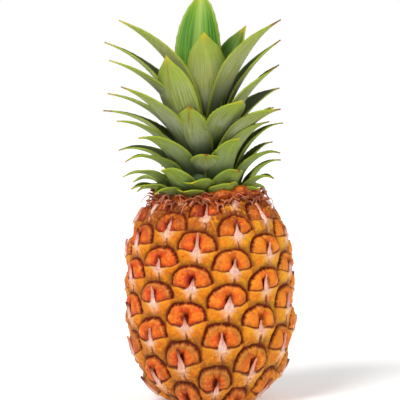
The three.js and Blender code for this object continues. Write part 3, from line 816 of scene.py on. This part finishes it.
for count in range(heart_leaves):
    leaf_shape = dict(
        azimuth=math.radians(-80 + leaf_turn * count),
        foot=(2, crown_foot + crown_rise),
        tip=(8 + 3 * count, 236 - 12 * count),
        bow=0.1,
        hook=0.0,
        width=14,
        wrap=1.3,
        widest=0.5,
        base=0.7,
        full=2.0,
        twist=0.2,
        sway=0.0,
        wave=0.3,
        teeth=0.0,
    )
    leaf_shapes.append((0.2 * count, 0.0, leaf_shape))


def leaf_material(name, inner):
    """The skin of one face of the leaves: the inner glossy green, darkened by painted shade on the older
    leaves; the outer pale with a whitish bloom, painted lighter on the youngest and darker towards the base
    as painted shade; both with painted shade near the stem.
    """
    material, shader, field = new_material(name)
    blade_x, along, _ = field.uv_map("UVMap").parts()
    across = blade_x * 2 - 1
    luck, age, _ = field.uv_map("luck").parts()
    place = field.place()
    cloud = field.noise(place, 60, 3)
    mottle = field.noise(place, 300, 4)
    grain = field.noise(place, 1500, 2)
    stripes_at = field.vector(across * 14, along * 2.2, luck * 30)
    stripes = field.noise(stripes_at, 1.0, 4, 0.65)
    fine_at = field.vector(across * 46, along * 3, luck * 30)
    fine = field.noise(fine_at, 1.0, 2)
    aside = abs(across)
    if inner:
        colour = stripes.rise(0.35, 0.65).tint(paint(64, 120, 22), paint(122, 178, 50))
        colour = (aside.rise(0.4, 0.05) * 0.7).tint(colour, paint(166, 196, 90))
        colour = (fine.rise(0.5, 0.7) * 0.4).tint(colour, paint(36, 80, 14))
        colour = (along.rise(0.75, 1.0) * 0.7).tint(colour, paint(168, 186, 40))
        # Painted shade: the inner faces of the older, lower leaves are darkened almost to black
        colour = (age.rise(0.11, 0.17) * 0.88).tint(colour, paint(44, 44, 22))
        colour = (age.rise(0.04, 0.02) * 0.7).tint(colour, paint(52, 84, 34))
    else:
        green = luck.rise(0.0, 1.0).tint(paint(126, 146, 62), paint(148, 160, 86))
        # The youngest leaves are paler and yellower: partly their own tone, partly painted light
        green = (age.rise(0.14, 0.02) * 0.8).tint(green, paint(206, 206, 110))
        colour = stripes.rise(0.35, 0.65).tint(green, paint(176, 184, 114))
        colour = (fine.rise(0.45, 0.7) * 0.5).tint(colour, paint(112, 132, 56))
        bloom = cloud.rise(0.35, 0.62) * along.rise(0.9, 0.5) * (1 - aside.rise(0.6, 0.95))
        colour = (bloom * 0.7).tint(colour, paint(184, 192, 158))
        greener = (along + (cloud - 0.5) * 0.5).rise(0.55, 0.95)
        colour = (greener * 0.75).tint(colour, paint(150, 172, 44))
        colour = (age.rise(0.4, 0.9) * 0.6).tint(colour, paint(130, 162, 48))
        # Painted shade: darker and bluer towards the base of the leaf
        colour = ((along + mottle * 0.1).rise(0.5, 0.2) * 0.75).tint(colour, paint(74, 96, 66))
        colour = (aside.rise(0.18, 0.0) * along.rise(0.3, 0.8) * 0.35).tint(colour, paint(190, 196, 92))
        ribs = field.noise(stripes_at, 2.2, 2)
        colour = (ribs.rise(0.52, 0.62) * 0.45).tint(colour, paint(112, 126, 48))
        scar = (aside + (mottle - 0.5) * 0.2).rise(0.14, 0.0) * along.rise(0.6, 0.9) * luck.rise(0.2, 0.6)
        colour = (scar * 0.85).tint(colour, paint(134, 76, 22))
    # Painted shade: the leaves turn nearly black close to the stem, between their bases
    shade_near_axis = place.from_axis().rise(0.036, 0.016) * along.rise(0.6, 0.2)
    colour = (shade_near_axis * 0.8).tint(colour, paint(22, 38, 16))
    margin = (aside + (mottle - 0.5) * 0.1).rise(0.84, 1.0)
    colour = (margin * 0.6).tint(colour, paint(164, 176, 40))
    end = (along + (mottle - 0.5) * 0.12).rise(0.88, 1.0)
    colour = (end * 0.8).tint(colour, paint(206, 184, 48))
    burnt = (along + luck * 0.06 + (mottle - 0.5) * 0.16).rise(0.95, 1.04)
    burnt = burnt * (age * 0.6 + luck).rise(0.5, 0.9)
    colour = (burnt * 0.85).tint(colour, paint(124, 60, 26))
    spots = field.noise(place, 300, 1).rise(0.72, 0.78) * luck.rise(0.2, 0.8) * along.rise(0.8, 0.6)
    colour = (spots * 0.4).tint(colour, paint(88, 74, 26))
    height = (stripes * 0.7 + fine * 0.5 + grain * 0.12) * along.rise(0.95, 0.55)
    bump = field.bump(height, 0.7, 0.0008)
    smoothest, shine = (0.3, 0.4) if inner else (0.46, 0.25)
    roughness = mottle * 0.2 + smoothest
    connect(shader, Base_Color=colour, Normal=bump, Roughness=roughness, Specular_IOR_Level=shine)
    return material


leaf_faces = [leaf_material("leaf_outer_face", False), leaf_material("leaf_inner_face", True)]
bpy.ops.mesh.primitive_cone_add(
    vertices=64,
    radius1=(crown_stem_foot + 2) / 1000,
    radius2=crown_stem_top / 1000,
    depth=crown_rise / 1000,
    location=(0, 0, (crown_foot + crown_rise / 2) / 1000),
)
crown_stem = bpy.context.object
crown_stem.name = "crown_stem"
bpy.ops.object.transform_apply(location=True)
bpy.ops.object.shade_smooth()
crown_stem.select_set(False)
leaf_foot, leaf_foot_shader, field = new_material("leaf_foot")
place = field.place()
colour = field.noise(place, 300, 3).rise(0.35, 0.65).tint(paint(40, 62, 24), paint(70, 92, 40))
connect(leaf_foot_shader, Base_Color=colour, Roughness=0.6)
crown_stem.data.materials.append(leaf_foot)
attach(crown_stem, "root")
crown = grow_blades("crown_leaves", leaf_columns, leaf_rows, leaf_thickness, leaf_faces, leaf_shapes)
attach(crown, "root")
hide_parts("crown")


# Between the fruit and its crown a short neck carries the last small fruitlets, whose bracts have dried
# and curled. They are thin, reddish brown and twisted, and some trail long pale threads over the shoulder
# of the fruit.
neck_foot_radius, neck_top_radius = 33.0, 24.0
neck_foot, neck_top = 140.9, 146.5
neck_bract_count, neck_thread_count = 46, 44
bract_columns, bract_rows, bract_thickness = 6, 16, 0.4
bract_shapes = []
for count in range(neck_bract_count):
    draw = np.random.default_rng(600 + count)
    out = draw.uniform(0, 1)
    foot_radius = blend(33, 39.5, out)
    bract_shape = dict(
        azimuth=math.radians(leaf_turn * count),
        foot=(foot_radius, blend(140.6, 137.0, out)),
        tip=(foot_radius + draw.uniform(2, 8), blend(141, 137, out) + draw.uniform(-1, 6)),
        bow=draw.uniform(-0.1, 0.35),
        hook=draw.uniform(0.0, 0.25),
        width=draw.uniform(6, 11),
        wrap=draw.uniform(0.6, 1.6),
        widest=0.35,
        base=0.9,
        full=1.5,
        twist=draw.uniform(-1.4, 1.4),
        sway=draw.uniform(-0.12, 0.12),
        wave=draw.uniform(0.5, 1.2),
        teeth=0.0,
    )
    bract_shapes.append((draw.uniform(), 1.0, bract_shape))
for count in range(neck_thread_count):
    draw = np.random.default_rng(900 + count)
    foot_radius = draw.uniform(35, 41)
    bract_shape = dict(
        azimuth=math.radians(leaf_turn * count + 40),
        foot=(foot_radius, 139 - 0.8 * (foot_radius - 35)),
        tip=(foot_radius + draw.uniform(3, 9), draw.uniform(131, 141)),
        bow=draw.uniform(0.35, 0.9),
        hook=draw.uniform(0.0, 0.5),
        width=draw.uniform(0.9, 1.6),
        wrap=1.5,
        widest=0.3,
        base=0.9,
        full=1.5,
        twist=draw.uniform(-2, 2),
        sway=draw.uniform(-0.5, 0.5),
        wave=0.0,
        teeth=0.0,
    )
    bract_shapes.append((draw.uniform(0.7, 1.0), 0.0, bract_shape))
withered, withered_shader, field = new_material("withered_bract")
blade_x, along, _ = field.uv_map("UVMap").parts()
across = blade_x * 2 - 1
luck, age, _ = field.uv_map("luck").parts()
place = field.place()
mottle = field.noise(place, 500, 3)
stripes_at = field.vector(across * 7, along * 2, luck * 30)
stripes = field.noise(stripes_at, 1.0, 3)
colour = luck.rise(0.2, 0.8).tint(paint(110, 24, 24), paint(170, 66, 30))
colour = stripes.rise(0.4, 0.65).tint(colour, paint(206, 120, 70))
colour = (mottle.rise(0.5, 0.7) * 0.6).tint(colour, paint(70, 20, 20))
colour = (abs(across).rise(0.7, 1.0) * 0.6).tint(colour, paint(224, 150, 110))
colour = (age.rise(0.6, 0.4) * 0.85).tint(colour, paint(226, 140, 120))
bump = field.bump(stripes + mottle * 0.5, 0.9, 0.0006)
connect(withered_shader, Base_Color=colour, Normal=bump, Roughness=0.6, Specular_IOR_Level=0.25)
neck_bracts = grow_blades(
    "withered_bracts", bract_columns, bract_rows, bract_thickness, [withered], bract_shapes
)
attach(neck_bracts, "root")
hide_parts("neck_bracts")

# The neck itself is a low cone with small fruitlets all over, and larger ones in the front at the right.
# Each of these is a turn, a share of the way up, a size and how far it stands out.
neck_columns, neck_rows, neck_fruitlets = 260, 30, 26
neck_mean_radius, neck_slope, neck_sunk, neck_lean = 34.0, 15.0, 1.2, 0.7
late_fruitlets = [(19, 0.3, 8.0, 7.0), (40, 0.4, 9.0, 9.5), (60, 0.35, 8.5, 8.5), (77, 0.5, 7.0, 5.5)]
neck, neck_across, neck_up = flat_sheet(neck_columns, neck_rows)
neck.name = "neck"
neck_azimuth = neck_across * math.pi
swelling = np.zeros(len(neck_up))
neck_swellings = list(late_fruitlets)
for count in range(neck_fruitlets):
    draw = np.random.default_rng(1200 + count)
    place_up = 0.15 + 0.55 * count / neck_fruitlets
    neck_swellings.append((leaf_turn * count, place_up, draw.uniform(4.2, 5.4), draw.uniform(1.4, 2.4)))
for turn, place_up, size, raised in neck_swellings:
    around = turned_from(neck_azimuth, math.radians(turn))
    apart = np.hypot(around * neck_mean_radius / size, (neck_up - place_up) * neck_slope / size)
    swelling = np.maximum(swelling, raised * np.clip(1 - apart**2, 0, 1) ** 0.6)
neck_radii = [neck_foot_radius + 2, neck_foot_radius, 30, neck_top_radius]
neck_radius = np.interp(neck_up, [0, 0.2, 0.6, 1], neck_radii) + swelling * neck_lean
neck_low = neck_foot - neck_sunk
neck_height = neck_low + (neck_top - neck_low) * neck_up + swelling * neck_lean
neck_points = np.stack(
    [neck_radius * np.sin(neck_azimuth), -neck_radius * np.cos(neck_azimuth), neck_height], axis=1
)
neck.data.vertices.foreach_set("co", (neck_points / 1000).ravel())
bpy.ops.object.mode_set(mode="EDIT")
bpy.ops.mesh.select_all(action="SELECT")
bpy.ops.mesh.remove_doubles(threshold=0.00001)
bpy.ops.mesh.select_all(action="DESELECT")
bpy.ops.mesh.select_non_manifold()
bpy.ops.mesh.fill_holes(sides=0)
bpy.ops.mesh.select_all(action="SELECT")
bpy.ops.mesh.normals_make_consistent(inside=False)
bpy.ops.object.mode_set(mode="OBJECT")
bpy.ops.object.shade_smooth()
small_fruitlet, small_fruitlet_shader, field = new_material("small_fruitlet")
place = field.place()
mottle = field.noise(place, 420, 4)
colour = mottle.rise(0.35, 0.65).tint(paint(150, 52, 14), paint(214, 116, 36))
colour = (field.noise(place, 130, 2).rise(0.5, 0.65) * 0.6).tint(colour, paint(110, 30, 20))
connect(small_fruitlet_shader, Base_Color=colour, Roughness=0.45, Specular_IOR_Level=0.25)
neck.data.materials.append(small_fruitlet)
neck.select_set(False)
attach(neck, "root")


# A pale floor runs far behind the fruit under a white surround that only the camera sees, and two broad
# soft lamps light it evenly at every distance, the stronger from high on the left.
surround_radius = 12.0
white = (1, 1, 1, 1)
world_strength = 0.36
bpy.ops.mesh.primitive_plane_add(size=2 * surround_radius, location=(0, 0, 0))
floor = bpy.context.object
floor.name = "floor"
floor_material, floor_shader, _ = new_material("pale_floor")
connect(floor_shader, Base_Color=(0.9, 0.9, 0.9, 1), Roughness=1.0, Specular_IOR_Level=0.0)
connect(floor_shader, Emission_Color=white, Emission_Strength=0.3)
floor.data.materials.append(floor_material)

bpy.ops.mesh.primitive_ico_sphere_add(subdivisions=4, radius=surround_radius, location=(0, 0, 0))
surround = bpy.context.object
surround.name = "surround"
surround_material, surround_shader, _ = new_material("white_surround")
connect(surround_shader, Base_Color=(0, 0, 0, 1), Specular_IOR_Level=0.0)
connect(surround_shader, Emission_Color=white, Emission_Strength=1.0)
surround.data.materials.append(surround_material)
surround.visible_diffuse = False
surround.visible_glossy = False
surround.visible_transmission = False
surround.visible_shadow = False

world = bpy.data.worlds.new("studio")
bpy.context.scene.world = world
world.use_nodes = True
connect(world.node_tree.nodes["Background"], Color=white, Strength=world_strength)

for lamp_name, lamp_azimuth, lamp_elevation, lamp_spread, lamp_strength in (
    ("key", -38, 48, 22, 2.1),
    ("fill", 55, 25, 40, 0.85),
):
    bpy.ops.object.light_add(type="SUN", location=(0, 0, 1))
    lamp = bpy.context.object
    lamp.name = lamp_name
    lamp.data.angle = math.radians(lamp_spread)
    lamp.data.energy = lamp_strength
    lamp.rotation_euler = (math.radians(90 - lamp_elevation), 0, math.radians(lamp_azimuth))

bpy.context.scene.view_settings.view_transform = "Standard"
